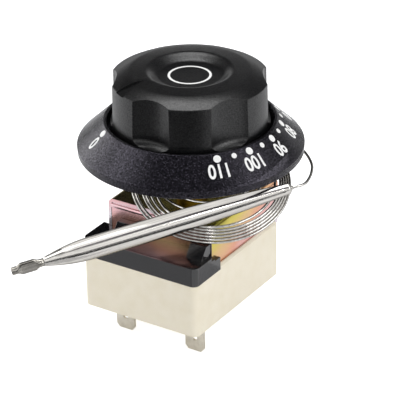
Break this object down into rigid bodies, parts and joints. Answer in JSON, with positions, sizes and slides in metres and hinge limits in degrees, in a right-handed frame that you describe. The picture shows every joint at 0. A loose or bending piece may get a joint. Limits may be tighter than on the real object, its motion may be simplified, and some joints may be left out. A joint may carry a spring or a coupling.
{
  "type": "capillary fryer thermostat",
  "caption": "Rotary temperature control: scooped knob and coned dial on a switch case with spade tabs, joined by a coiled metal capillary to a sensing bulb.",
  "frame": {"origin": "shaft axis at the top face of the steel bracket, midway between the two panel screws", "axes": "+Z along the shaft towards the knob, -Y to the front of the case with the sloped cover, +X to the right seen from the front"},
  "size_m": [0.0711, 0.0867, 0.0792],
  "materials": {
    "cream_case": "moulded thermoset, satin",
    "black_cover": "moulded, glossy",
    "black_knob": "moulded, satin",
    "black_dial": "moulded with a fine grain, white print",
    "chromated_steel": "zinc with yellow iridescent passivation",
    "steel": "machined",
    "stainless": "drawn, bright",
    "brass": "turned",
    "tinned_brass": "stamped and tin plated",
    "spring_bronze": "rolled",
    "contact_silver": "headed",
    "ceramic": "fired, unglazed"
  },
  "bodies": {
    "base": {"housing": "cream_case", "cover": "black_cover", "bracket": "chromated_steel", "inner_frame": "chromated_steel", "frame_rivets": "steel", "guide_post": "steel", "spindle_bush": "brass", "terminal_common": "tinned_brass", "terminal_left": "tinned_brass", "terminal_right": "tinned_brass", "upper_contact": "contact_silver", "lower_contact": "contact_silver", "capillary": "stainless", "bulb": "stainless", "filling_tail": "stainless", "dial_bezel": "black_dial"},
    "knob_shaft": {"spindle": "steel", "retaining_clip": "steel", "stop_washer": "steel", "calibration_screw": "brass", "knob": "black_knob", "knob_spring_clip": "steel"},
    "capsule": {"carrier_nut": "brass", "capsule_upper_shell": "stainless", "capsule_lower_shell": "stainless", "capsule_nipple": "stainless", "pressure_button": "ceramic"},
    "pin": {"push_pin": "ceramic"},
    "blade": {"contact_blade": "spring_bronze", "moving_contact": "contact_silver"}
  },
  "joints": [
    {"name": "knob_turn", "type": "hinge", "parent": "base", "child": "knob_shaft", "pos_m": [0, 0, 0], "axis": [0, 0, 1], "range_deg": [-270, 0]},
    {"name": "capsule_lift", "type": "slide", "parent": "base", "child": "capsule", "axis": [0, 0, 1], "range_m": [0, 0.00045]},
    {"name": "pin_lift", "type": "slide", "parent": "base", "child": "pin", "axis": [0, 0, 1], "range_m": [0, 0.00045]},
    {"name": "blade_swing", "type": "hinge", "parent": "base", "child": "blade", "pos_m": [0, 0.011, -0.01802], "axis": [-1, 0, 0], "range_deg": [0, 2.34]}
  ],
  "couplings": [
    {"joint": "capsule_lift", "follows": "knob_turn", "m_per_rad": -0.00009549},
    {"joint": "pin_lift", "follows": "knob_turn", "m_per_rad": -0.00009549},
    {"joint": "blade_swing", "follows": "knob_turn", "ratio": -0.00868}
  ]
}
